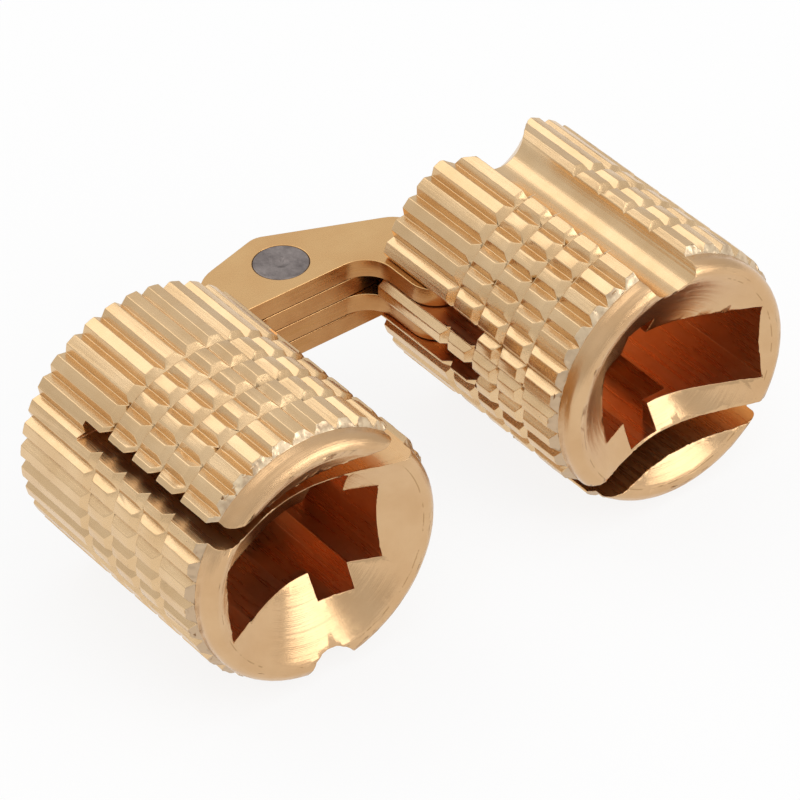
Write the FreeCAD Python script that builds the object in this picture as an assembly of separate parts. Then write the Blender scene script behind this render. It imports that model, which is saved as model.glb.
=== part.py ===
import FreeCAD, Part
import math
import os
from FreeCAD import Vector

# Invisible barrel hinge, open flat at 180 degrees with its two barrels lying side by side.
# Millimetres. X runs from the left barrel to the right one, Y out of the barrels' mouths,
# Z along the pins. The hinge is modelled about the middle of its mouths, then set on its lowest point.

# Barrels
barrel_d = 12.0
barrel_length = 13.0
axis_spacing = 18.2
rib_count = 35
rib_depth = 0.29
rib_crest = 0.50
lip_length = 1.20
lip_round = 0.60
lip_shoulder = 0.30
rib_end_angle = 45.0
lip_d = 10.4
dish_d = 9.8
dish_sink = 0.10
dish_angle = 121.0

# Ring grooves around the ribs
ring_count = 4
ring_first = 4.65
ring_pitch = 1.70
ring_width = 0.56
ring_depth = 0.34

# Cavity and cuts of a barrel
slot_reach_outer = 4.5
slot_reach_inner = 3.3
groove_offset = 1.15
groove_width = 1.60
groove_height = 5.90
slit_centre = 3.34
slit_width = 0.74
slit_blind = 3.30
slit_upper_tilt = 3.2
slit_lower_tilt = 1.0
screw_groove_r = 1.25
screw_groove_reach = 5.95
screw_groove_offset = 0.13
countersink_r = 2.40
countersink_angle = 90.0
side_slot_length = 6.8

# Links, stacked in turn: each layer is counted from the middle of the stack
right_layers = (1.5, -0.5)
left_layers = (0.5, -1.5)
link_thickness = 0.87
link_gap = 0.03
head_reach = 2.08
head_normal = 105.5
outer_edge_reach = 2.05
outer_edge_normal = 65.4
inner_edge = 0.75
pivot_end_r = 1.40
slider_end_r = 1.60
elbow_inset = 4.85
elbow_rise = 2.50
head_round = 1.0
shoulder_round = 1.5
inner_round = 1.4
hook_round = 1.0
elbow_round = 2.0

# Pins
centre_pin_d = 2.45
centre_pin_reach = 2.60
closed_offset = 1.95
pivot_pin_d = 1.40
pivot_pin_length = 5.10
pivot_depth = 2.10
slider_pin_d = 1.50
dimple_r = 0.42
dimple_depth = 0.16

# Fits
closing_gap = 0.40
slot_clearance = 0.065
side_slot_clearance = 0.045
press_clearance = 0.01
running_clearance = 0.04
pin_end_clearance = 0.05
slider_clearance = 0.05
slider_end_clearance = 0.10

# Linkage: the centre pin swings about each barrel's pivot pin, and each link's far end slides
# along the groove of the other barrel. All of it follows from where the centre pin stands
# when the hinge is open and when it is closed.
barrel_r = barrel_d / 2
half_spacing = axis_spacing / 2
centre_closed = -closed_offset
half_gap = closing_gap / 2
pivot_offset = (
    half_spacing**2
    + centre_pin_reach**2
    + 2 * centre_pin_reach * pivot_depth
    - centre_closed**2
    - half_gap**2
    - 2 * half_gap * pivot_depth
) / (2 * (half_spacing - centre_closed))
swing_open = math.atan2(centre_pin_reach + pivot_depth, half_spacing - pivot_offset)
swing_closed = math.atan2(half_gap + pivot_depth, centre_closed - pivot_offset)
swing = swing_closed - swing_open
turn = math.pi - swing
arm_reach = half_spacing - groove_offset
arm_drop = (arm_reach * math.cos(turn) - (centre_closed - groove_offset)) / math.sin(turn)

centre = Vector(0, centre_pin_reach, 0)
right_pivot = Vector(half_spacing - pivot_offset, -pivot_depth, 0)
left_pivot = Vector(-right_pivot.x, right_pivot.y, 0)
left_slider = Vector(-arm_reach, centre_pin_reach - arm_drop, 0)
layer_pitch = link_thickness + link_gap
stack_height = 3 * layer_pitch + link_thickness
slot_height = stack_height + 2 * slot_clearance
side_slot_height = link_thickness + 2 * side_slot_clearance
slider_pin_length = groove_height - 2 * slider_end_clearance


def turned_about(point, pivot, angle):
    arm = point - pivot
    x = arm.x * math.cos(angle) - arm.y * math.sin(angle)
    y = arm.x * math.sin(angle) + arm.y * math.cos(angle)
    return pivot + Vector(x, y, 0)


def slider_drift(steps=60):
    # The two turns are taken in constant ratio, so the slider leaves the groove's middle by this much.
    drift = 0
    for step in range(steps + 1):
        share = step / steps
        middle = turned_about(centre, left_pivot, share * swing)
        place = middle + turned_about(left_slider - centre, Vector(), share * turn)
        drift = min(drift, place.x - left_slider.x)
    return -drift


def box(low, high):
    return Part.makeBox(high.x - low.x, high.y - low.y, high.z - low.z, low)


def upright(radius, height, place):
    base = Vector(place.x, place.y, place.z - height / 2)
    return Part.makeCylinder(radius, height, base)


def half_turned(shape):
    # The hinge looks the same after a half turn about the line midway between the barrels.
    copy = shape.copy()
    copy.rotate(Vector(), Vector(0, 1, 0), 180)
    return copy


def revolved(points, axis_x):
    # A closed outline of radius and depth, turned about a barrel's axis.
    corners = [Vector(axis_x + radius, depth, 0) for radius, depth in points]
    wire = Part.makePolygon(corners + corners[:1])
    return Part.Face(wire).revolve(Vector(axis_x, 0, 0), Vector(0, 1, 0), 360)


def ribbed_bar(axis_x):
    # Straight knurl: flat crests on the full diameter with V-shaped valleys between them.
    pitch = 2 * math.pi / rib_count
    half_crest = rib_crest / barrel_d
    edges = []
    for rib in range(rib_count):
        middle = math.pi / 2 + rib * pitch
        angles = (middle - half_crest, middle, middle + half_crest)
        start, top, end = [
            Vector(axis_x + barrel_r * math.cos(a), 0, barrel_r * math.sin(a)) for a in angles
        ]
        floor_angle = middle + pitch / 2
        floor_r = barrel_r - rib_depth
        floor = Vector(axis_x + floor_r * math.cos(floor_angle), 0, floor_r * math.sin(floor_angle))
        next_angle = middle + pitch - half_crest
        following = Vector(axis_x + barrel_r * math.cos(next_angle), 0, barrel_r * math.sin(next_angle))
        edges.append(Part.Arc(start, top, end).toShape())
        edges.append(Part.makeLine(end, floor))
        edges.append(Part.makeLine(floor, following))
    wire = Part.Wire(Part.__sortEdges__(edges))
    return Part.Face(wire).extrude(Vector(0, -barrel_length, 0))


def lip_envelope(axis_x):
    # Everything inside the lip: the ribs' ends cut to a cone, then a plain band rounded over to its rim.
    spare = 1.0
    outside = barrel_r + spare
    shoulder = barrel_r - lip_shoulder
    rim = lip_d / 2
    y_band = -barrel_length + lip_length
    y_round = -barrel_length + lip_round
    slope = 1 / math.tan(math.radians(rib_end_angle))
    diagonal = math.sqrt(0.5)
    corners = [
        Vector(axis_x + rim, -barrel_length, 0),
        Vector(axis_x, -barrel_length, 0),
        Vector(axis_x, spare, 0),
        Vector(axis_x + outside, spare, 0),
        Vector(axis_x + outside, y_band + spare * slope, 0),
        Vector(axis_x + shoulder, y_band - lip_shoulder * slope, 0),
        Vector(axis_x + shoulder, y_round, 0),
    ]
    middle = Vector(axis_x + rim + (shoulder - rim) * diagonal, y_round - lip_round * diagonal, 0)
    outline = [Part.makeLine(start, end) for start, end in zip(corners, corners[1:])]
    outline.append(Part.Arc(corners[-1], middle, corners[0]).toShape())
    face = Part.Face(Part.Wire(outline))
    return face.revolve(Vector(axis_x, 0, 0), Vector(0, 1, 0), 360)


def dish(axis_x):
    # Drill-point hollow in the inner end, with a bevelled edge inside the lip.
    rim = lip_d / 2
    edge = dish_d / 2
    y_edge = -barrel_length + dish_sink
    y_tip = y_edge + edge / math.tan(math.radians(dish_angle / 2))
    return revolved([(0, -barrel_length), (rim, -barrel_length), (edge, y_edge), (0, y_tip)], axis_x)


def ring_groove(axis_x, place):
    spare = 0.2
    slope = ring_width / 2 / ring_depth
    half = ring_width / 2 + slope * spare
    points = [
        (barrel_r + spare, -place - half),
        (barrel_r - ring_depth, -place),
        (barrel_r + spare, -place + half),
    ]
    return revolved(points, axis_x)


def left_barrel():
    axis_x = -half_spacing
    spare = 1.0
    body = ribbed_bar(axis_x).common(lip_envelope(axis_x))
    rings = [ring_groove(axis_x, ring_first + ring_pitch * ring) for ring in range(ring_count)]
    body = body.cut(Part.makeCompound(rings))
    body = body.cut(dish(axis_x))

    far = -barrel_length - spare
    main_slot = box(
        Vector(axis_x - slot_reach_outer, far, -slot_height / 2),
        Vector(axis_x + slot_reach_inner, spare, slot_height / 2),
    )
    groove_x = axis_x + groove_offset
    slider_groove = box(
        Vector(groove_x - groove_width / 2, far, -groove_height / 2),
        Vector(groove_x + groove_width / 2, spare, groove_height / 2),
    )
    # Room inside the groove for the slider pin's drift, clear of both ends.
    pin_room = slider_pin_d / 2 + slider_clearance
    slider_closed_y = half_gap - math.sqrt(
        arm_reach**2 + arm_drop**2 - (centre_closed - groove_offset) ** 2
    )
    drift_pocket = box(
        Vector(groove_x - pin_room - slider_drift(), slider_closed_y - pin_room, -groove_height / 2),
        Vector(groove_x, left_slider.y + pin_room, groove_height / 2),
    )
    # The slit opens towards the inner side: its two faces start from the outer surface and spread.
    slit_start = axis_x - math.sqrt(barrel_r**2 - slit_centre**2)
    upper_slope = math.tan(math.radians(slit_upper_tilt))
    lower_slope = math.tan(math.radians(slit_lower_tilt))
    slit_corners = []
    for x, side, slope in (
        (axis_x - barrel_d, -1, lower_slope),
        (axis_x + barrel_d, -1, lower_slope),
        (axis_x + barrel_d, 1, upper_slope),
        (axis_x - barrel_d, 1, upper_slope),
    ):
        slit_corners.append(Vector(x, far, slit_centre + side * slit_width / 2 + (x - slit_start) * slope))
    slit_wire = Part.makePolygon(slit_corners + slit_corners[:1])
    slit = Part.Face(slit_wire).extrude(Vector(0, -slit_blind - far, 0))
    screw_line = Vector(axis_x + screw_groove_offset, 0, -screw_groove_reach)
    screw_groove = Part.makeCylinder(
        screw_groove_r, barrel_length + spare, screw_line, Vector(0, -1, 0)
    )
    head_depth = countersink_r / math.tan(math.radians(countersink_angle / 2))
    screw_head = Part.makeCone(countersink_r, 0, head_depth, screw_line, Vector(0, -1, 0))
    cuts = [main_slot, slider_groove, drift_pocket, slit, screw_groove, screw_head]
    for layer in left_layers:
        middle = layer * layer_pitch
        cuts.append(
            box(
                Vector(axis_x, -side_slot_length, middle - side_slot_height / 2),
                Vector(axis_x + barrel_d, spare, middle + side_slot_height / 2),
            )
        )
    hole_d = pivot_pin_d + 2 * press_clearance
    hole_length = pivot_pin_length + 2 * pin_end_clearance
    cuts.append(upright(hole_d / 2, hole_length, left_pivot))
    for cut in cuts:
        body = body.cut(cut)
    (solid,) = body.Solids
    return solid


def rounded_outline(corners):
    # A closed wire through corners given as (x, y, radius), with a tangent arc at each.
    points = [Vector(x, y, 0) for x, y, radius in corners]
    count = len(corners)
    arcs = []
    for index, (x, y, radius) in enumerate(corners):
        here = points[index]
        back = (points[index - 1] - here).normalize()
        ahead = (points[(index + 1) % count] - here).normalize()
        half_angle = math.acos(max(-1, min(1, back.dot(ahead)))) / 2
        reach = radius / math.tan(half_angle)
        bisector = (back + ahead).normalize()
        middle = here + bisector * (radius / math.sin(half_angle) - radius)
        arcs.append((here + back * reach, middle, here + ahead * reach))
    edges = []
    for index, (start, middle, end) in enumerate(arcs):
        edges.append(Part.Arc(start, middle, end).toShape())
        following = arcs[(index + 1) % count][0]
        if (following - end).Length > 1e-6:
            edges.append(Part.makeLine(end, following))
    return Part.Wire(Part.__sortEdges__(edges))


def crossing(normal_a, reach_a, normal_b, reach_b):
    # The point at two distances from the centre pin along two directions, in radians.
    ax, ay = math.cos(normal_a), math.sin(normal_a)
    bx, by = math.cos(normal_b), math.sin(normal_b)
    scale = ax * by - ay * bx
    x = (reach_a * by - ay * reach_b) / scale
    y = (ax * reach_b - bx * reach_a) / scale
    return centre + Vector(x, y, 0)


def right_link_outline():
    # Straight edges are given by their distance from the centre pin and the way they face.
    flat_normal = math.radians(head_normal)
    edge_normal = math.radians(outer_edge_normal)
    head = crossing(flat_normal, head_reach, edge_normal, outer_edge_reach)
    pivot_right = right_pivot.x + pivot_end_r
    pivot_left = right_pivot.x - pivot_end_r
    pivot_low = right_pivot.y - pivot_end_r
    shoulder = crossing(edge_normal, outer_edge_reach, 0, pivot_right - centre.x)
    slider_right = left_slider.x + slider_end_r
    slider_left = left_slider.x - slider_end_r
    slider_low = left_slider.y - slider_end_r
    elbow = crossing(flat_normal, head_reach, math.pi, centre.x - left_slider.x - elbow_inset)
    hook_shoulder = left_slider.y + elbow_rise
    return rounded_outline(
        [
            (head.x, head.y, head_round),
            (shoulder.x, shoulder.y, shoulder_round),
            (pivot_right, pivot_low, pivot_end_r),
            (pivot_left, pivot_low, pivot_end_r),
            (pivot_left, inner_edge, inner_round),
            (slider_right, inner_edge, hook_round),
            (slider_right, slider_low, slider_end_r),
            (slider_left, slider_low, slider_end_r),
            (slider_left, hook_shoulder, elbow_round),
            (elbow.x, elbow.y, elbow_round),
        ]
    )


def right_link(layer, holds_centre_pin):
    # One bent plate of the stack, hooked over the left barrel's rim.
    low = layer * layer_pitch - link_thickness / 2
    plate = Part.Face(right_link_outline()).extrude(Vector(0, 0, link_thickness))
    plate.translate(Vector(0, 0, low))
    centre_fit = press_clearance if holds_centre_pin else running_clearance
    holes = [
        upright(centre_pin_d / 2 + centre_fit, stack_height * 2, centre),
        upright(pivot_pin_d / 2 + running_clearance, stack_height * 2, right_pivot),
        upright(slider_pin_d / 2 + press_clearance, stack_height * 2, left_slider),
    ]
    for hole in holes:
        plate = plate.cut(hole)
    (solid,) = plate.Solids
    return solid


def centre_pin():
    # Flush with the outer links, with a punch mark in the upper end.
    pin = upright(centre_pin_d / 2, stack_height, centre)
    top = Vector(centre.x, centre.y, stack_height / 2 - dimple_depth)
    mark = Part.makeCone(0, dimple_r, dimple_depth, top)
    return pin.cut(mark)


def pieces():
    barrel = left_barrel()
    slider_pin = upright(slider_pin_d / 2, slider_pin_length, left_slider)
    right_pivot_pin = upright(pivot_pin_d / 2, pivot_pin_length, right_pivot)
    return {
        "left_barrel": barrel,
        "right_barrel": half_turned(barrel),
        "right_link_upper": right_link(right_layers[0], True),
        "right_link_lower": right_link(right_layers[1], True),
        "left_link_upper": half_turned(right_link(-left_layers[0], False)),
        "left_link_lower": half_turned(right_link(-left_layers[1], False)),
        "centre_pin": centre_pin(),
        "left_pivot_pin": half_turned(right_pivot_pin),
        "right_pivot_pin": right_pivot_pin,
        "left_slider_pin": slider_pin,
        "right_slider_pin": half_turned(slider_pin),
    }


def main():
    shapes = pieces()
    whole = Part.makeCompound(list(shapes.values())).optimalBoundingBox(False, False)
    stand = Vector(-whole.Center.x, -whole.Center.y, -whole.ZMin)
    os.makedirs("parts", exist_ok=True)
    for name, shape in shapes.items():
        shape.translate(stand)
        shape.exportStep(f"parts/{name}.step")
        print(name, "valid", shape.isValid(), "volume", round(shape.Volume, 3))
    print("size", [round(v, 3) for v in (whole.XLength, whole.YLength, whole.ZLength)])
    for name, place in (("left pivot", left_pivot), ("centre", centre), ("right pivot", right_pivot)):
        print(name, "axis at", [round(v, 4) for v in (place + stand)])
    print("link swing", round(math.degrees(swing), 4), "fold ratio", round((turn - swing) / swing, 6))
    print("slider drift", round(slider_drift(), 3), "mouth plane at y", round(stand.y, 4))


main()
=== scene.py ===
import bpy
import bmesh
import math
import random
from mathutils import Matrix, Vector, noise


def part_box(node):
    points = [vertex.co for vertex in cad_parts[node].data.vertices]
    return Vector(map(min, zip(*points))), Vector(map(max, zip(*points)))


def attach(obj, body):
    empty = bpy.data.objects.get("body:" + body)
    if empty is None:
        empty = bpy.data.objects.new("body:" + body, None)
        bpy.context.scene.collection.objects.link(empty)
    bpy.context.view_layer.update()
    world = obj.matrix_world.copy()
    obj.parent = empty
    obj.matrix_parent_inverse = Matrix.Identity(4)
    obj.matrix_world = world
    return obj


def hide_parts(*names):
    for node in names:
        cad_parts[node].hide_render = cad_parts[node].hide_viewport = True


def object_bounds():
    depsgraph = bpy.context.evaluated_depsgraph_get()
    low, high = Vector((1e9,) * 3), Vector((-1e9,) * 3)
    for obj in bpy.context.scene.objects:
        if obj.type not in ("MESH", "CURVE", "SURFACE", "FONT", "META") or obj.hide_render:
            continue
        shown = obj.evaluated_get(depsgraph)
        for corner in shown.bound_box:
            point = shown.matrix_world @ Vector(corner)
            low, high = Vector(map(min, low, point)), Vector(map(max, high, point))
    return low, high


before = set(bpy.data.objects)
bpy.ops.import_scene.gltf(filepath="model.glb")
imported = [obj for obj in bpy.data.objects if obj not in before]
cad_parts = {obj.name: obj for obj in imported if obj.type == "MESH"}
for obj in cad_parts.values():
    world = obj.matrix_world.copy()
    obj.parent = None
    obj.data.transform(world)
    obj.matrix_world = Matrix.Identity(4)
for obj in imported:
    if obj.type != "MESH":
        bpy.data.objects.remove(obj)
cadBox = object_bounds()
mm = 0.001
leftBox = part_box("left_barrel")
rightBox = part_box("right_barrel")
axisZ = (cadBox[0][2] + cadBox[1][2]) / 2
leftX = (leftBox[0].x + leftBox[1].x) / 2
rightX = (rightBox[0].x + rightBox[1].x) / 2
mouthY = leftBox[1].y
backY = leftBox[0].y
print("frame loaded, barrel axes at x", round(leftX / mm, 2), round(rightX / mm, 2))


def addObject(name, data):
    thing = bpy.data.objects.new(name, data)
    bpy.context.scene.collection.objects.link(thing)
    return thing


# camera

photoCamera = {
    "azimuth": -34.824,      # degrees
    "elevation": 37.764,
    "roll": -2.935,
    "distance": 228.97 * mm,
    "target": Vector((0, mouthY - 6.665 * mm, axisZ)),
    "lens": 248.52,
    "sensor": 36.0,
    "shift": (-0.0162, -0.0013),
    "clip": (0.01, 10.0),
}


def placeCamera(view):
    azimuth, elevation, roll = (math.radians(view[k]) for k in ("azimuth", "elevation", "roll"))
    level = math.cos(elevation)
    back = Vector((math.sin(azimuth) * level, -math.cos(azimuth) * level, math.sin(elevation)))
    right = Vector((math.cos(azimuth), math.sin(azimuth), 0))
    up = back.cross(right)
    rolledRight = math.cos(roll) * right + math.sin(roll) * up
    rolledUp = math.cos(roll) * up - math.sin(roll) * right
    data = bpy.data.cameras.new("photoCamera")
    data.sensor_width = view["sensor"]
    data.lens = view["lens"]
    data.shift_x, data.shift_y = view["shift"]
    data.clip_start, data.clip_end = view["clip"]
    camera = addObject("photoCamera", data)
    turn = Matrix((rolledRight, rolledUp, back)).transposed().to_4x4()
    camera.matrix_world = Matrix.Translation(view["target"] + back * view["distance"]) @ turn
    bpy.context.scene.camera = camera


placeCamera(photoCamera)
bpy.context.scene.view_settings.view_transform = "Standard"
print("camera placed")


# node helpers, where spot is a node's column and row in the editor

nodeGap = (220, 200)
unit = (0, 1)
inverse = (1, 0)


def newNode(tree, kind, spot, **settings):
    node = tree.nodes.new(kind)
    node.location = [place * gap for place, gap in zip(spot, nodeGap)]
    for key, value in settings.items():
        setattr(node, key, value)
    return node


def feed(tree, socket, value):
    # the value is another node's output, a number, a vector or a colour
    if isinstance(value, bpy.types.NodeSocket):
        tree.links.new(value, socket)
    elif socket.type == "RGBA":
        socket.default_value = (*value, 1)
    else:
        socket.default_value = value


def feedAll(tree, sockets, values):
    for socket, value in zip(sockets, values):
        feed(tree, socket, value)


def mathNode(tree, operation, spot, *values):
    node = newNode(tree, "ShaderNodeMath", spot, operation=operation)
    feedAll(tree, node.inputs, values)
    return node.outputs[0]


def vectorNode(tree, operation, spot, *values):
    node = newNode(tree, "ShaderNodeVectorMath", spot, operation=operation)
    feedAll(tree, node.inputs, values)
    return node.outputs["Value" if operation == "LENGTH" else "Vector"]


def rangeNode(tree, value, given, wanted, spot):
    node = newNode(tree, "ShaderNodeMapRange", spot)
    feedAll(tree, node.inputs, (value, *given, *wanted))
    return node.outputs[0]


def mixColour(tree, share, first, second, spot):
    node = newNode(tree, "ShaderNodeMix", spot, data_type="RGBA")
    colours = [socket for socket in node.inputs if socket.type == "RGBA"]
    feedAll(tree, (node.inputs[0], *colours), (share, first, second))
    return next(socket for socket in node.outputs if socket.type == "RGBA")


def splitNode(tree, vector, spot):
    node = newNode(tree, "ShaderNodeSeparateXYZ", spot)
    feed(tree, node.inputs[0], vector)
    return node.outputs


def placeNode(tree, spot):
    return newNode(tree, "ShaderNodeTexCoord", spot).outputs


def noiseNode(tree, setup, place, scale, spot):
    node = newNode(tree, "ShaderNodeTexNoise", spot, noise_dimensions=setup["dimensions"])
    feed(tree, node.inputs["W" if setup["dimensions"] == "1D" else "Vector"], place)
    feed(tree, node.inputs["Scale"], scale)
    feed(tree, node.inputs["Detail"], setup["detail"])
    feed(tree, node.inputs["Roughness"], setup["roughness"])
    return node.outputs[0]


def newGroup(name, inputs, outputs):
    group = bpy.data.node_groups.new(name, "ShaderNodeTree")
    for label, kind, value in inputs:
        socket = group.interface.new_socket(name=label, in_out="INPUT", socket_type=kind)
        socket.default_value = value
    for label in outputs:
        group.interface.new_socket(name=label, in_out="OUTPUT", socket_type="NodeSocketFloat")
    given = newNode(group, "NodeGroupInput", (-4, 0))
    out = newNode(group, "NodeGroupOutput", (6, 0))
    return group, given.outputs, out.inputs


def addGroup(tree, group, spot, values):
    node = newNode(tree, "ShaderNodeGroup", spot, node_tree=group)
    for label, value in values.items():
        node.inputs[label].default_value = value
    return node.outputs


# shared effects, each a noise whose middle range becomes a mask

effects = {
    "stain": {"dimensions": "3D", "detail": 4, "roughness": 0.6, "range": (0.3, 0.7)},
    "grain": {"dimensions": "3D", "detail": 3, "roughness": 0.5, "range": (0.25, 0.75)},
    "lines": {"dimensions": "3D", "detail": 5, "roughness": 0.65, "range": (0.3, 0.7), "deep": (0.36, 0.44)},
    "rings": {"dimensions": "1D", "detail": 4, "roughness": 0.7, "range": (0.3, 0.7)},
}


def buildSatinGrain(stain, grain):
    # soft stains a few millimetres wide and a fine tumbled grain
    group, given, out = newGroup(
        "satinGrain",
        [("Stain Scale", "NodeSocketFloat", 420.0), ("Grain Scale", "NodeSocketFloat", 15000.0)],
        ["Stain", "Grain"],
    )
    place = placeNode(group, (-4, -2))["Object"]
    for label, setup, row in (("Stain", stain, 0), ("Grain", grain, -2)):
        value = noiseNode(group, setup, place, given[f"{label} Scale"], (-1, row))
        feed(group, out[label], rangeNode(group, value, setup["range"], unit, (2, row)))
    return group


def buildDragLines(setup):
    # scratches drawn along one axis, as a die or a cutter leaves them
    group, given, out = newGroup(
        "dragLines",
        [("Stretch", "NodeSocketVector", (1, 1, 1)), ("Scale", "NodeSocketFloat", 6000.0)],
        ["Lines", "Deep"],
    )
    place = placeNode(group, (-4, -2))["Object"]
    stretched = vectorNode(group, "MULTIPLY", (-2, -1), place, given["Stretch"])
    lines = noiseNode(group, setup, stretched, given["Scale"], (-1, 0))
    feed(group, out["Lines"], rangeNode(group, lines, setup["range"], unit, (2, 0)))
    feed(group, out["Deep"], rangeNode(group, lines, setup["deep"], inverse, (2, -2)))
    return group


def buildTurnedRings(setup):
    # fine lathe rings about an axis along Y
    group, given, out = newGroup(
        "turnedRings",
        [("Axis", "NodeSocketVector", (0, 0, 0)), ("Scale", "NodeSocketFloat", 9000.0)],
        ["Rings", "Radius"],
    )
    place = placeNode(group, (-4, -2))["Object"]
    offset = vectorNode(group, "SUBTRACT", (-3, -1), place, given["Axis"])
    flat = vectorNode(group, "MULTIPLY", (-2, -1), offset, (1, 0, 1))
    radius = vectorNode(group, "LENGTH", (-1, -1), flat)
    climb = mathNode(group, "ADD", (0, -2), radius, splitNode(group, offset, (-2, -3))["Y"])
    rings = noiseNode(group, setup, climb, given["Scale"], (1, 0))
    feed(group, out["Rings"], rangeNode(group, rings, setup["range"], unit, (3, 0)))
    feed(group, out["Radius"], radius)
    return group


satinGrain = buildSatinGrain(effects["stain"], effects["grain"])
dragLines = buildDragLines(effects["lines"])
turnedRings = buildTurnedRings(effects["rings"])


def addGrain(tree, look):
    scales = {"Stain Scale": look["stainScale"], "Grain Scale": look["grainScale"]}
    return addGroup(tree, satinGrain, (-6, 0), scales)


def addStain(tree, scale, spot):
    return addGroup(tree, satinGrain, spot, {"Stain Scale": scale})["Stain"]


def addLines(tree, look):
    drawn = {"Stretch": look["lineStretch"], "Scale": look["lineScale"]}
    return addGroup(tree, dragLines, (-6, -3), drawn)


def weigh(tree, masks, shares, spot):
    column, row = spot
    parts = []
    for n, (mask, share) in enumerate(zip(masks, shares)):
        parts.append(mathNode(tree, "MULTIPLY", (column - 1, row - n), mask, share))
    return mathNode(tree, "ADD", spot, *parts)


def stainColour(tree, look, stain):
    return mixColour(tree, stain, look["deep"], look["light"], (-3, 1))


def newMetal(name):
    material = bpy.data.materials.new(name)
    material.use_nodes = True
    return material, material.node_tree


def dressMetal(tree, look, colour, rough, height):
    # rough and height are masks from 0 to 1
    shader = tree.nodes["Principled BSDF"]
    bump = newNode(tree, "ShaderNodeBump", (-1, -4))
    feed(tree, bump.inputs["Strength"], look["bump"])
    feed(tree, bump.inputs["Distance"], look["bumpDepth"])
    feed(tree, bump.inputs["Height"], height)
    feed(tree, shader.inputs["Metallic"], 1.0)
    feed(tree, shader.inputs["Base Color"], colour)
    feed(tree, shader.inputs["Roughness"], rangeNode(tree, rough, unit, look["roughness"], (-2, -2)))
    feed(tree, shader.inputs["Normal"], bump.outputs[0])


# brass of the barrels

barrelBrass = {
    "light": (0.80, 0.570, 0.330),
    "deep": (0.71, 0.475, 0.250),
    "stainScale": 420.0,
    "grainScale": 14000.0,
    "lineScale": 5200.0,
    "lineStretch": (1, 0.035, 1),
    "score": 0.35,               # how far the deepest lines darken
    "roughMix": (0.5, 0.5),      # shares of grain and lines
    "roughness": (0.20, 0.33),
    "bumpMix": (0.12, 1),
    "bump": 0.35,
    "bumpDepth": 0.012 * mm,
}


def barrelKnurl(look):
    material, tree = newMetal("barrelKnurl")
    grain = addGrain(tree, look)
    lines = addLines(tree, look)
    scored = mathNode(tree, "MULTIPLY", (-4, -1), lines["Deep"], look["score"])
    colour = mixColour(tree, scored, stainColour(tree, look, grain["Stain"]), look["deep"], (-2, 1))
    masks = (grain["Grain"], lines["Lines"])
    rough = weigh(tree, masks, look["roughMix"], (-3, -2))
    height = weigh(tree, masks, look["bumpMix"], (-3, -5))
    dressMetal(tree, look, colour, rough, height)
    return material


turnedBrass = {
    "light": (0.68, 0.448, 0.245),
    "deep": (0.62, 0.388, 0.200),
    "stainScale": 500.0,
    "grainScale": 12000.0,
    "ringScale": 11000.0,
    "roughMix": (0.5, 0.5),      # shares of grain and rings
    "roughness": (0.13, 0.24),
    "bumpMix": (0.3, 1),
    "bump": 0.3,
    "bumpDepth": 0.014 * mm,
    "toolMark": (0.42, 0.25, 0.11),
    "markRadius": 4.98 * mm,     # a broken ring left by the facing tool
    "markWidth": 0.035 * mm,
    "dashScale": 1500.0,
    "dashRange": (0.5, 0.62),
}


def barrelTurned(look, name, axisX):
    material, tree = newMetal(name)
    grain = addGrain(tree, look)
    turned = {"Axis": (axisX, backY, axisZ), "Scale": look["ringScale"]}
    rings = addGroup(tree, turnedRings, (-6, -3), turned)
    away = mathNode(tree, "SUBTRACT", (-5, 3), rings["Radius"], look["markRadius"])
    away = mathNode(tree, "ABSOLUTE", (-4, 3), away)
    mark = rangeNode(tree, away, (0, look["markWidth"]), inverse, (-3, 3))
    dashes = addStain(tree, look["dashScale"], (-6, 4))
    dashes = rangeNode(tree, dashes, look["dashRange"], unit, (-4, 4))
    mark = mathNode(tree, "MULTIPLY", (-2, 3), mark, dashes)
    colour = mixColour(tree, mark, stainColour(tree, look, grain["Stain"]), look["toolMark"], (-2, 1))
    masks = (grain["Grain"], rings["Rings"])
    rough = weigh(tree, masks, look["roughMix"], (-3, -2))
    height = weigh(tree, masks, look["bumpMix"], (-3, -5))
    dressMetal(tree, look, colour, rough, height)
    return material


# cavity and slot walls: the milled lines are real, the redder tone is painted bounce light from inside the
# cavity
cutBrassBounceTint = {
    "light": (0.87, 0.500, 0.265),
    "deep": (0.80, 0.410, 0.190),
    "stainScale": 600.0,
    "lineScale": 4200.0,
    "lineStretch": (1, 0.05, 1),
    "roughness": (0.22, 0.38),
    "bump": 0.45,
    "bumpDepth": 0.015 * mm,
}

slitBrass = {
    "light": (0.85, 0.540, 0.275),
    "deep": (0.78, 0.450, 0.200),
    "stainScale": 600.0,
    "lineScale": 4200.0,
    "lineStretch": (1, 0.05, 1),
    "roughness": (0.22, 0.34),
    "bump": 0.3,
    "bumpDepth": 0.012 * mm,
}


def barrelCut(look, name):
    # walls sawn or milled along the barrel
    material, tree = newMetal(name)
    colour = stainColour(tree, look, addStain(tree, look["stainScale"], (-6, 0)))
    lines = addLines(tree, look)["Lines"]
    dressMetal(tree, look, colour, lines, lines)
    return material


tornBrass = {
    # the light tone here is a painted highlight, shown on the upper tears only
    "light": (0.84, 0.66, 0.44),
    "deep": (0.58, 0.42, 0.27),
    "paintedHighlight": (2.5 * mm, 5.0 * mm),      # heights above the axis between which the tears get a painted highlight
    "stainScale": 1900.0,
    "grainScale": 16000.0,
    "flakeRange": (0.15, 0.6),
    "roughness": (0.28, 0.42),
    "bump": 0.3,
    "bumpDepth": 0.03 * mm,
}


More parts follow.
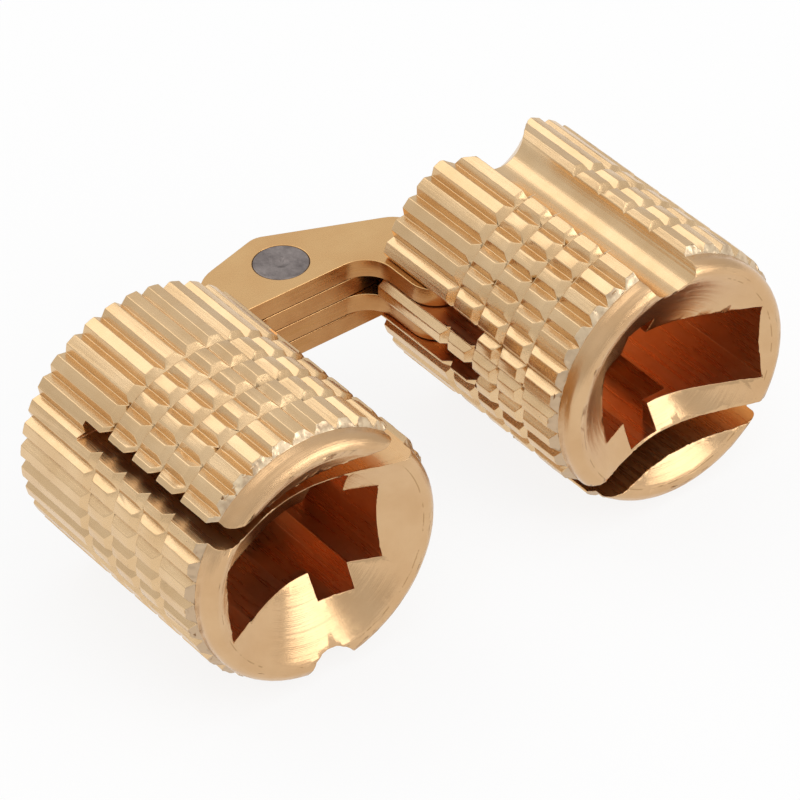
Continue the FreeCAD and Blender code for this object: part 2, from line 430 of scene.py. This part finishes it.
def barrelTorn(look):
    # rib ends where the facing tool tore the knurl away, flaked and dull, the upper ones with a painted
    # highlight on their flakes
    material, tree = newMetal("barrelTorn")
    grain = addGrain(tree, look)
    height = splitNode(tree, placeNode(tree, (-7, 3))["Object"], (-6, 3))["Z"]
    paintedHighlight = rangeNode(tree, height, [axisZ + rise for rise in look["paintedHighlight"]], unit, (-5, 3))
    flakes = rangeNode(tree, grain["Stain"], look["flakeRange"], unit, (-5, 1))
    # the light tone on the flakes of the upper tears is a painted highlight
    share = mathNode(tree, "MULTIPLY", (-4, 1), flakes, paintedHighlight)
    dressMetal(tree, look, stainColour(tree, look, share), grain["Grain"], grain["Stain"])
    return material


# brass of the links

linkBrass = {
    "light": (0.755, 0.475, 0.215),
    "deep": (0.70, 0.410, 0.175),
    "stainScale": 350.0,
    "grainScale": 9000.0,
    "lineScale": 2600.0,
    "lineStretch": (0.06, 1, 1),
    "roughMix": (0.7, 0.3),      # shares of grain and lines
    "roughness": (0.22, 0.36),
    "bumpMix": (1, 0.4),
    "bump": 0.3,
    "bumpDepth": 0.010 * mm,
}


def linkFace(look):
    material, tree = newMetal("linkFace")
    grain = addGrain(tree, look)
    masks = (grain["Grain"], addLines(tree, look)["Lines"])
    rough = weigh(tree, masks, look["roughMix"], (-3, -2))
    height = weigh(tree, masks, look["bumpMix"], (-3, -5))
    dressMetal(tree, look, stainColour(tree, look, grain["Stain"]), rough, height)
    return material


punchedBrass = {
    "light": (0.54, 0.280, 0.108),
    "deep": (0.46, 0.215, 0.076),
    "scoreColour": (0.42, 0.20, 0.055),
    "score": 0.4,
    "stainScale": 700.0,
    "lineScale": 5500.0,
    "lineStretch": (0.06, 0.06, 1),
    "roughness": (0.22, 0.36),
    "bump": 0.48,
    "bumpDepth": 0.010 * mm,
}


def linkEdge(look):
    # punched edges, scored along the plate
    material, tree = newMetal("linkEdge")
    lines = addLines(tree, look)
    scored = mathNode(tree, "MULTIPLY", (-4, -1), lines["Deep"], look["score"])
    colour = stainColour(tree, look, addStain(tree, look["stainScale"], (-6, 0)))
    colour = mixColour(tree, scored, colour, look["scoreColour"], (-2, 1))
    dressMetal(tree, look, colour, lines["Lines"], lines["Lines"])
    return material


# steel of the pins

pinSteel = {
    "light": (0.33, 0.285, 0.27),
    "deep": (0.16, 0.135, 0.13),
    "stainScale": 1600.0,
    "grainScale": 7000.0,
    "roughness": (0.32, 0.52),
    "bump": 0.5,
    "bumpDepth": 0.02 * mm,
}


def pinEnd(look):
    material, tree = newMetal("pinEnd")
    grain = addGrain(tree, look)
    height = mathNode(tree, "ADD", (-3, -5), grain["Grain"], grain["Stain"])
    dressMetal(tree, look, stainColour(tree, look, grain["Stain"]), grain["Grain"], height)
    return material


knurlMaterial = barrelKnurl(barrelBrass)
cutMaterial = barrelCut(cutBrassBounceTint, "barrelCut")
slitMaterial = barrelCut(slitBrass, "barrelSlit")
tornMaterial = barrelTorn(tornBrass)
turnedLeft = barrelTurned(turnedBrass, "barrelTurnedLeft", leftX)
turnedRight = barrelTurned(turnedBrass, "barrelTurnedRight", rightX)
linkFaceMaterial = linkFace(linkBrass)
linkEdgeMaterial = linkEdge(punchedBrass)
pinMaterial = pinEnd(pinSteel)
print("materials built")


# meshes

meshSetup = {
    "merge": 0.002 * mm,     # corners closer than this are one
    "flatAngle": 1.0,        # triangles within this angle are one flat, in degrees
    "sharpAngle": 40,        # edges above this angle are shaded sharp, in degrees
}


def mergedCopy(node):
    # a CAD node's loose triangles as one closed mesh with whole flats
    bm = bmesh.new()
    bm.from_mesh(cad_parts[node].data)
    bmesh.ops.remove_doubles(bm, verts=bm.verts[:], dist=meshSetup["merge"])
    flat = math.radians(meshSetup["flatAngle"])
    bmesh.ops.dissolve_limit(bm, angle_limit=flat, verts=bm.verts[:], edges=bm.edges[:])
    return bm


def sharpEdges(bm, angle):
    limit = math.radians(angle)
    return [e for e in bm.edges if len(e.link_faces) == 2 and e.calc_face_angle() > limit]


def breakEdges(bm, edge, kept=()):
    # bevels the sharp edges, apart from those between kept corners
    edges = [e for e in sharpEdges(bm, edge["angle"]) if not all(v in kept for v in e.verts)]
    bmesh.ops.bevel(
        bm, geom=edges, offset=edge["width"], offset_type="OFFSET", affect="EDGES",
        segments=edge["segments"], profile=0.5, clamp_overlap=False, material=-1,
    )


def finishPiece(bm, name, node, body, materials):
    mesh = bpy.data.meshes.new(name)
    bm.to_mesh(mesh)
    bm.free()
    for material in materials:
        mesh.materials.append(material)
    mesh.shade_smooth()
    mesh.set_sharp_from_angle(angle=math.radians(meshSetup["sharpAngle"]))
    piece = addObject(name, mesh)
    weighted = piece.modifiers.new("weighted", "WEIGHTED_NORMAL")
    weighted.keep_sharp = True
    weighted.mode = "FACE_AREA_WITH_ANGLE"
    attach(piece, body)
    if node:
        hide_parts(node)


# barrels, in whose own frame the slit is above the axis

leftSide = {"node": "left_barrel", "axisX": leftX, "turn": 1, "turned": turnedLeft}
rightSide = {"node": "right_barrel", "axisX": rightX, "turn": -1, "turned": turnedRight}
barrelPaint = {"knurl": 0, "turned": 1, "cut": 2, "torn": 3, "slit": 4}      # material slots

barrelEdges = {
    "width": 0.03 * mm,
    "segments": 2,
    "angle": 24,
    "step": 0.22 * mm,       # spacing of the nicks along an edge
    "nick": 0.012 * mm,      # how far an edge wanders
    "cutNick": 0.028 * mm,   # burred edges of the cavity and the screw groove
    "tornNick": 0.03 * mm,   # rib ends at the lip, where the tool ran out
    "nickScale": 9000,
    "nickShifts": (Vector((0, 0, 0)), Vector((31.4, 7.7, 0)), Vector((0, 19.1, 53.2))),
    "ledge": (3.30 * mm, -1.84 * mm),    # a strip beside the side slot, too narrow to break its edges
    "ledgeNear": 0.03 * mm,
}

barrelZones = {
    "tornFrom": 11.76 * mm,  # depths are below the mouth
    "tornTo": 12.13 * mm,
    "tornRadius": 5.66 * mm,
    "tornFacing": 0.4,       # facing is the least share of the normal along the axis
    "lipDepth": 12.05 * mm,
    "lipRadius": 5.0 * mm,
    "lipFacing": 0.2,
    "turnedRadius": 5.74 * mm,
    "cavityRadius": 5.4 * mm,
    "dishDepth": 10.0 * mm,
    "dishRadius": 5.3 * mm,
    "dishFacing": 0.6,
    "mouthDepth": 0.1 * mm,
    "mouthFacing": 0.9,
    "slitFloor": 2.90 * mm,  # heights above the axis
    "slitTop": 3.30 * mm,
    "slitFacing": 0.5,
    "screwSpot": (0.13 * mm, -5.95 * mm),
    "screwReach": 1.4 * mm,
    "headReach": 2.5 * mm,   # countersink at the mouth
}

barrelDish = {
    "angle": 121.0,          # of the drill's point
    "radius": 4.90 * mm,
    "sink": 0.10 * mm,
    "facing": 0.98,
    "cuts": 3,
}

barrelTears = {"depth": 0.035 * mm, "scale": 3600, "cuts": 2}


def barrelSpot(point, side):
    # across, height, depth below the mouth and distance from the axis
    across = (point.x - side["axisX"]) * side["turn"]
    height = (point.z - axisZ) * side["turn"]
    return across, height, mouthY - point.y, math.hypot(across, height)


def onLedge(v, side, edge):
    return all(abs(a - b) < edge["ledgeNear"] for a, b in zip(barrelSpot(v.co, side), edge["ledge"]))


def nickEdges(bm, side, edge, zone):
    byCuts = {}
    for e in sharpEdges(bm, edge["angle"]):
        cuts = int(e.calc_length() / edge["step"])
        if cuts:
            byCuts.setdefault(cuts, []).append(e)
    for cuts, edges in byCuts.items():
        bmesh.ops.bisect_edges(bm, edges=edges, cuts=cuts)
    for v in bm.verts:
        if onLedge(v, side, edge):
            continue
        depth, radius = barrelSpot(v.co, side)[2:]
        nick = edge["nick"]
        if depth > zone["lipDepth"] and radius < zone["cavityRadius"]:
            nick = edge["cutNick"]
        if zone["tornFrom"] < depth < zone["tornTo"] and radius > zone["turnedRadius"]:
            nick = edge["tornNick"]
        # three plain noises, because the vector noise differs from run to run
        place = v.co * edge["nickScale"]
        v.co += Vector([noise.noise(place + shift) for shift in edge["nickShifts"]]) * nick


def paintName(f, side, zone):
    across, height, depth, radius = barrelSpot(f.calc_center_median(), side)
    inward = -f.normal.y
    torn = zone["tornFrom"] < depth < zone["tornTo"] and radius > zone["tornRadius"]
    if torn and inward > zone["tornFacing"]:
        return "torn"
    dish = depth > zone["dishDepth"] and radius < zone["dishRadius"] and inward > zone["dishFacing"]
    mouth = depth < zone["mouthDepth"] and -inward > zone["mouthFacing"]
    lip = depth > zone["lipDepth"] and radius < zone["turnedRadius"]
    if dish or mouth or lip and (abs(inward) > zone["lipFacing"] or radius > zone["lipRadius"]):
        return "turned"
    away = math.hypot(across - zone["screwSpot"][0], height - zone["screwSpot"][1])
    groove = away < zone["screwReach"] or max(away, depth) < zone["headReach"]
    if groove or radius >= zone["cavityRadius"]:
        return "knurl"
    floor = height > zone["slitFloor"] and f.normal.z * side["turn"] > zone["slitFacing"]
    return "slit" if floor or height > zone["slitTop"] else "cut"


def smoothDish(bm, side, dish):
    # the long facets of the dish, divided and set back on its cone
    half = math.radians(dish["angle"] / 2)
    axis = Vector((side["axisX"], 0, axisZ))

    def onCone(f):
        arm = f.calc_center_median() - axis
        arm.y = 0
        if f.material_index != barrelPaint["turned"] or arm.length > dish["radius"]:
            return False
        outward = arm.normalized() * -math.cos(half) - Vector((0, math.sin(half), 0))
        return f.normal.dot(outward) > dish["facing"]

    bmesh.ops.triangulate(bm, faces=[f for f in bm.faces if onCone(f)])
    inside = [e for e in bm.edges if len(e.link_faces) == 2 and all(onCone(f) for f in e.link_faces)]
    bmesh.ops.subdivide_edges(bm, edges=inside, cuts=dish["cuts"], use_grid_fill=True)
    bm.normal_update()
    for v in bm.verts:
        if v.link_faces and all(onCone(f) for f in v.link_faces):
            radius = barrelSpot(v.co, side)[3]
            v.co.y = backY + dish["sink"] + (dish["radius"] - radius) / math.tan(half)
    bm.normal_update()


def tearRibEnds(bm, tear):
    def isTorn(part):
        return part.link_faces and all(f.material_index == barrelPaint["torn"] for f in part.link_faces)

    torn = [f for f in bm.faces if f.material_index == barrelPaint["torn"]]
    bmesh.ops.triangulate(bm, faces=torn)
    inside = [e for e in bm.edges if isTorn(e)]
    bmesh.ops.subdivide_edges(bm, edges=inside, cuts=tear["cuts"], use_grid_fill=True)
    bm.normal_update()
    for v in bm.verts:
        if isTorn(v):
            v.co += v.normal * noise.noise(v.co * tear["scale"]) * tear["depth"]


def barrel(name, side):
    bm = mergedCopy(side["node"])
    nickEdges(bm, side, barrelEdges, barrelZones)
    breakEdges(bm, barrelEdges, {v for v in bm.verts if onLedge(v, side, barrelEdges)})
    for f in bm.faces:
        f.material_index = barrelPaint[paintName(f, side, barrelZones)]
    smoothDish(bm, side, barrelDish)
    tearRibEnds(bm, barrelTears)
    materials = (knurlMaterial, side["turned"], cutMaterial, tornMaterial, slitMaterial)
    finishPiece(bm, name, side["node"], side["node"], materials)


barrel("barrelLeft", leftSide)
barrel("barrelRight", rightSide)
print("barrels finished")


# burrs left on the barrels

burrs = {
    "ribs": 35,
    "firstRib": 90,              # degrees
    "shifts": (-1.6, 2.4),       # from a rib's middle to its corners, in degrees
    "stray": (-1, 1),
    "share": 0.30,               # of the rib corners that carry a flake
    "endRadius": 5.92 * mm,
    "endDepth": 11.87 * mm,
    "width": (0.14 * mm, 0.34 * mm),
    "height": (0.05 * mm, 0.12 * mm),
    "lift": (-0.6, 0.35),        # outward, as shares of the height
    "curl": (-0.3, 0.5),
    "cells": (3, 2),
    "taper": 0.45,
    "reach": 0.8,
    "ragged": 0.6,
    "raggedScale": 4000,
    "raggedStretch": 4,
    "thickness": 0.022 * mm,
    "clearOf": ((39, 9), (145.5, 6), (270, 15)),     # slit ends and screw groove, in degrees
    "spurDepths": (4.93 * mm, 6.63 * mm, 8.33 * mm, 10.03 * mm),
    "spurSpot": (1.33 * mm, -5.83 * mm),
    "spurLength": 0.40 * mm,
    "spurRadius": 0.035 * mm,
    "spurTip": 0.3,              # share of the radius
    "spurFlat": 0.6,
    "spurSides": 7,
    "seed": 5,
}


def ribFlake(bm, root, across, out, chance, setup):
    # a torn sliver that starts on the rib's end and curls forward
    width = chance.uniform(*setup["width"])
    height = chance.uniform(*setup["height"])
    lift = chance.uniform(*setup["lift"])
    curl = chance.uniform(*setup["curl"])
    columns, rows = setup["cells"]
    half = 0.5
    stretch = setup["raggedStretch"]
    made = bmesh.ops.create_grid(bm, x_segments=columns, y_segments=rows, size=half)
    for v in made["verts"]:
        x, y = v.co.x, v.co.y + half
        place = root * setup["raggedScale"] + Vector((x * stretch, y * stretch, lift))
        ragged = 1 + setup["ragged"] * noise.noise(place)
        sideways = across * (x * width * (1 - setup["taper"] * y))
        forward = Vector((0, -1, 0)) * (y * height * ragged * setup["reach"])
        v.co = root + sideways + forward + out * ((lift * y + curl * y * y) * height)


def grooveSpurs(bm, side, setup):
    # fine spurs that the ring grooves leave across the screw groove
    turn = side["turn"]
    across, height = setup["spurSpot"]
    lean = Matrix.Rotation(math.radians(-90 * turn), 4, "Y") @ Matrix.Scale(setup["spurFlat"], 4, (1, 0, 0))
    for depth in setup["spurDepths"]:
        place = Vector((side["axisX"] + turn * across, mouthY - depth, axisZ + turn * height))
        bmesh.ops.create_cone(
            bm, cap_ends=True, segments=setup["spurSides"], radius1=setup["spurRadius"],
            radius2=setup["spurRadius"] * setup["spurTip"], depth=setup["spurLength"],
            matrix=Matrix.Translation(place) @ lean,
        )


def barrelBurrs(name, side, setup):
    chance = random.Random(setup["seed"])
    end = Vector((side["axisX"], mouthY - setup["endDepth"], axisZ))
    bm = bmesh.new()
    for rib in range(setup["ribs"]):
        for shift in setup["shifts"]:
            middle = setup["firstRib"] + rib * 360 / setup["ribs"]
            degrees = (middle + shift + chance.uniform(*setup["stray"])) % 360
            keep = chance.random() < setup["share"]
            if not keep or any(abs(degrees - centre) < span for centre, span in setup["clearOf"]):
                continue
            a = math.radians(degrees)
            out = Vector((math.cos(a), 0, math.sin(a))) * side["turn"]
            across = Vector((-math.sin(a), 0, math.cos(a))) * side["turn"]
            ribFlake(bm, end + out * setup["endRadius"], across, out, chance, setup)
    bmesh.ops.solidify(bm, geom=bm.faces[:], thickness=setup["thickness"])
    bmesh.ops.recalc_face_normals(bm, faces=bm.faces[:])
    grooveSpurs(bm, side, setup)
    finishPiece(bm, name, None, side["node"], (tornMaterial,))


barrelBurrs("burrsLeft", leftSide, burrs)
barrelBurrs("burrsRight", rightSide, burrs)
print("burrs finished")


# links

linkEdges = {"width": 0.045 * mm, "segments": 3, "angle": 30, "faceUp": 0.6}


def link(name, node, body, edge):
    bm = mergedCopy(node)
    breakEdges(bm, edge)
    for f in bm.faces:
        f.material_index = 0 if abs(f.normal.z) > edge["faceUp"] else 1
    finishPiece(bm, name, node, body, (linkFaceMaterial, linkEdgeMaterial))


for side in ("left", "right"):
    for layer in ("upper", "lower"):
        link(f"{side}Link{layer.title()}", f"{side}_link_{layer}", f"{side}_links", linkEdges)
print("links finished")


# pins

pinEdges = {"width": 0.06 * mm, "segments": 3, "angle": 30}


def pin(name, node, body, edge):
    bm = mergedCopy(node)
    breakEdges(bm, edge)
    finishPiece(bm, name, node, body, (pinMaterial,))


pin("centrePin", "centre_pin", "right_links", pinEdges)
pin("leftPivotPin", "left_pivot_pin", "left_barrel", pinEdges)
pin("rightPivotPin", "right_pivot_pin", "right_barrel", pinEdges)
pin("leftSliderPin", "left_slider_pin", "right_links", pinEdges)
pin("rightSliderPin", "right_slider_pin", "left_links", pinEdges)
print("pins finished")


# floor and light

studio = {
    "floorSize": 3.0,
    "floorColour": (0.93, 0.93, 0.93),
    "floorRoughness": 0.9,
    "floorShine": 0.1,
    "paperGlow": 0.85,       # share of plain white the camera and the brass see in the floor
    "skyRange": (0.0, 0.8),  # from the horizon to near the top
    "skyLevels": (0.66, 0.86),
    "skySeen": 1.0,          # level that the camera sees
    "lamps": {
        "back": {"from": (-0.05, 0.65, 0.76), "away": 0.36, "size": 0.20, "power": 0.105},
        "front": {"from": (0.46, -0.79, 0.38), "away": 0.36, "size": 0.24, "power": 0.360},
        "top": {"from": (0.15, -0.25, 1.0), "away": 0.40, "size": 0.30, "power": 0.100},
    },
}


def floorPaper(setup):
    material = bpy.data.materials.new("floorPaper")
    material.use_nodes = True
    tree = material.node_tree
    shader = tree.nodes["Principled BSDF"]
    feed(tree, shader.inputs["Base Color"], setup["floorColour"])
    feed(tree, shader.inputs["Roughness"], setup["floorRoughness"])
    feed(tree, shader.inputs["Specular IOR Level"], setup["floorShine"])
    path = newNode(tree, "ShaderNodeLightPath", (-4, 2)).outputs
    seen = mathNode(tree, "MAXIMUM", (-3, 2), path["Is Camera Ray"], path["Is Glossy Ray"])
    share = mathNode(tree, "MULTIPLY", (-1, 2), seen, setup["paperGlow"])
    glow = newNode(tree, "ShaderNodeEmission", (-1, 0))
    mixed = newNode(tree, "ShaderNodeMixShader", (1, 1))
    feedAll(tree, mixed.inputs, (share, shader.outputs[0], glow.outputs[0]))
    feed(tree, tree.nodes["Material Output"].inputs["Surface"], mixed.outputs[0])
    return material


def buildFloor(setup):
    bm = bmesh.new()
    bmesh.ops.create_grid(bm, x_segments=1, y_segments=1, size=setup["floorSize"] / 2)
    mesh = bpy.data.meshes.new("floor")
    bm.to_mesh(mesh)
    bm.free()
    mesh.materials.append(floorPaper(setup))
    floor = addObject("floor", mesh)


def buildSky(setup):
    world = bpy.data.worlds.new("studio")
    bpy.context.scene.world = world
    world.use_nodes = True
    tree = world.node_tree
    tree.nodes.clear()
    seen = newNode(tree, "ShaderNodeLightPath", (-4, 2)).outputs["Is Camera Ray"]
    height = splitNode(tree, placeNode(tree, (-4, 0))["Generated"], (-3, 0))["Z"]
    level = rangeNode(tree, height, setup["skyRange"], setup["skyLevels"], (-2, 0))
    strength = newNode(tree, "ShaderNodeMix", (-1, 1), data_type="FLOAT")
    numbers = [strength.inputs[0], *strength.inputs[2:4]]
    feedAll(tree, numbers, (seen, level, setup["skySeen"]))
    background = newNode(tree, "ShaderNodeBackground", (0, 0))
    feed(tree, background.inputs["Color"], (1, 1, 1))
    feed(tree, background.inputs["Strength"], strength.outputs[0])
    out = newNode(tree, "ShaderNodeOutputWorld", (1, 0))
    feed(tree, out.inputs["Surface"], background.outputs[0])


def buildLamps(lamps):
    middle = Vector((0, 0, axisZ))
    for name, lamp in lamps.items():
        data = bpy.data.lights.new(name, "AREA")
        data.shape = "SQUARE"
        data.size = lamp["size"]
        data.energy = lamp["power"]
        light = addObject(name, data)
        toward = Vector(lamp["from"]).normalized()
        turn = toward.to_track_quat("Z", "Y").to_matrix().to_4x4()
        light.matrix_world = Matrix.Translation(middle + toward * lamp["away"]) @ turn


buildFloor(studio)
buildSky(studio)
buildLamps(studio["lamps"])
print("studio built")
